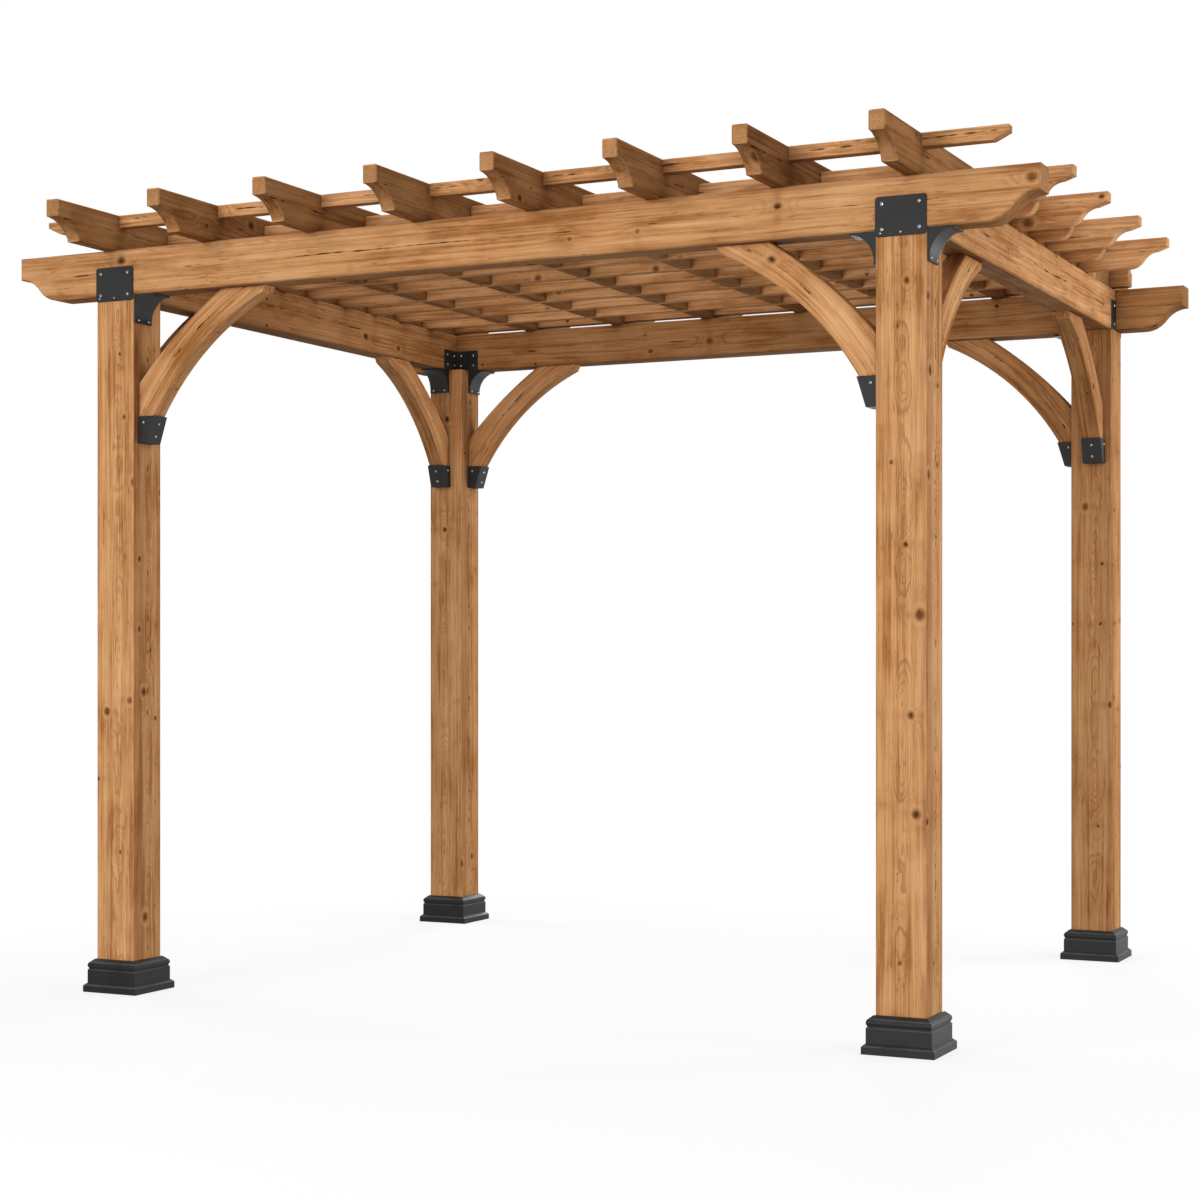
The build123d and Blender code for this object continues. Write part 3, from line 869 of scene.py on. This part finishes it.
def lay_floor():
    mesh = bpy.data.meshes.new("floor")
    corners = [(sx * FLOOR_REACH, sy * FLOOR_REACH, 0) for sx, sy in ((-1, -1), (1, -1), (1, 1), (-1, 1))]
    mesh.from_pydata(corners, [], [(0, 1, 2, 3)])
    floor = bpy.data.objects.new("floor", mesh)
    scene.collection.objects.link(floor)
    material, w = new_material("pale_floor")
    spot = w.node("ShaderNodeTexCoord").outputs["Object"]
    path = w.node("ShaderNodeLightPath").outputs
    far = w.remap(w.vector("LENGTH", spot, out=1), *FLOOR_FADE)
    matt = w.node("ShaderNodeBsdfDiffuse", {"Color": FLOOR_PALE})
    glow = w.node("ShaderNodeEmission", {"Color": rgb(1, 1, 1), "Strength": FLOOR_GLOW})
    near = w.node("ShaderNodeAddShader", {0: matt.outputs[0], 1: glow.outputs[0]})
    white = w.node("ShaderNodeEmission", {"Color": rgb(1, 1, 1), "Strength": 1.0})
    seen = w.node("ShaderNodeMixShader", {0: far, 1: near.outputs[0], 2: white.outputs[0]})
    dim = w.node("ShaderNodeBsdfDiffuse", {"Color": FLOOR_BOUNCE})
    mirrored = w.math("MAXIMUM", path["Is Glossy Ray"], path["Is Transmission Ray"])
    direct = w.math("MAXIMUM", path["Is Camera Ray"], mirrored)
    either = w.node("ShaderNodeMixShader", {0: direct, 1: dim.outputs[0], 2: seen.outputs[0]})
    w.node("ShaderNodeOutputMaterial", {"Surface": either.outputs[0]})
    mesh.materials.append(material)


# Soft studio light: a pale surround and large lamps on all sides
SURROUND = 0.27
LAMPS = {
    "key": {"place": (-2.4, -6.2, 3.7), "aim": (0.0, -0.6, 1.5), "size": 1.3, "power": 62.0},
    "front": {"place": (4.2, -8.5, 1.3), "aim": (0.8, 0.0, 1.6), "size": 2.2, "power": 240.0},
    "low": {"place": (-0.6, -7.0, 0.4), "aim": (0.0, 0.0, 1.9), "size": 2.0, "power": 174.0},
    "side": {"place": (6.0, -0.6, 2.2), "aim": (1.2, 0.0, 1.4), "size": 2.6, "power": 64.0},
    "rear_side": {"place": (5.2, 3.4, 1.3), "aim": (1.0, 0.8, 1.3), "size": 2.4, "power": 150.0},
    "rear": {"place": (-1.6, 7.4, 2.3), "aim": (0.0, 0.6, 1.4), "size": 2.6, "power": 215.0},
    "left": {"place": (-6.4, 1.2, 2.2), "aim": (-1.2, 0.0, 1.3), "size": 2.6, "power": 115.0},
    "top": {"place": (0.0, 0.4, 6.6), "aim": (0.0, 0.0, 0.0), "size": 3.6, "power": 95.0},
}


def light_studio():
    world = bpy.data.worlds.new("studio")
    scene.world = world
    world.use_nodes = True
    world.node_tree.nodes.clear()
    w = Wiring(world.node_tree)
    path = w.node("ShaderNodeLightPath").outputs
    mirrored = w.math("MAXIMUM", path["Is Glossy Ray"], path["Is Transmission Ray"])
    direct = w.math("MAXIMUM", path["Is Camera Ray"], mirrored)
    strength = w.pick(direct, SURROUND, 1.0)
    sky = w.node("ShaderNodeBackground", {"Color": rgb(1, 1, 1), "Strength": strength})
    w.node("ShaderNodeOutputWorld", {"Surface": sky.outputs[0]})
    for name, lamp in LAMPS.items():
        data = bpy.data.lights.new(name, "AREA")
        data.shape = "DISK"
        data.size = lamp["size"]
        data.energy = lamp["power"]
        light = bpy.data.objects.new(name, data)
        scene.collection.objects.link(light)
        light.location = lamp["place"]
        aim = Vector(lamp["aim"]) - Vector(lamp["place"])
        light.rotation_euler = aim.to_track_quat("-Z", "Y").to_euler()


# The camera stands level, about a metre up, to the right of the front; focus and centre are in photo pixels
PHOTO_SIDE = 1200
SENSOR = 36.0
CAMERA_PLACE = (3.1467, -6.8164, 1.0491)
CAMERA_YAW = 0.4519
CAMERA_FOCUS = 2280.4
CAMERA_CENTRE = (592.6, 653.9)


def place_camera():
    data = bpy.data.cameras.new("camera")
    camera = bpy.data.objects.new("camera", data)
    scene.collection.objects.link(camera)
    camera.location = CAMERA_PLACE
    camera.rotation_euler = (math.pi / 2, 0.0, CAMERA_YAW)
    data.sensor_width = SENSOR
    data.lens = SENSOR * CAMERA_FOCUS / PHOTO_SIDE
    data.shift_x = 0.5 - CAMERA_CENTRE[0] / PHOTO_SIDE
    data.shift_y = CAMERA_CENTRE[1] / PHOTO_SIDE - 0.5
    scene.camera = camera


dress_posts()
dress_beams()
dress_rafters()
dress_slats()
dress_tails()
dress_braces()
dress_steel()
fit_bolts()
lay_floor()
light_studio()
place_camera()
scene.view_settings.view_transform = "Standard"
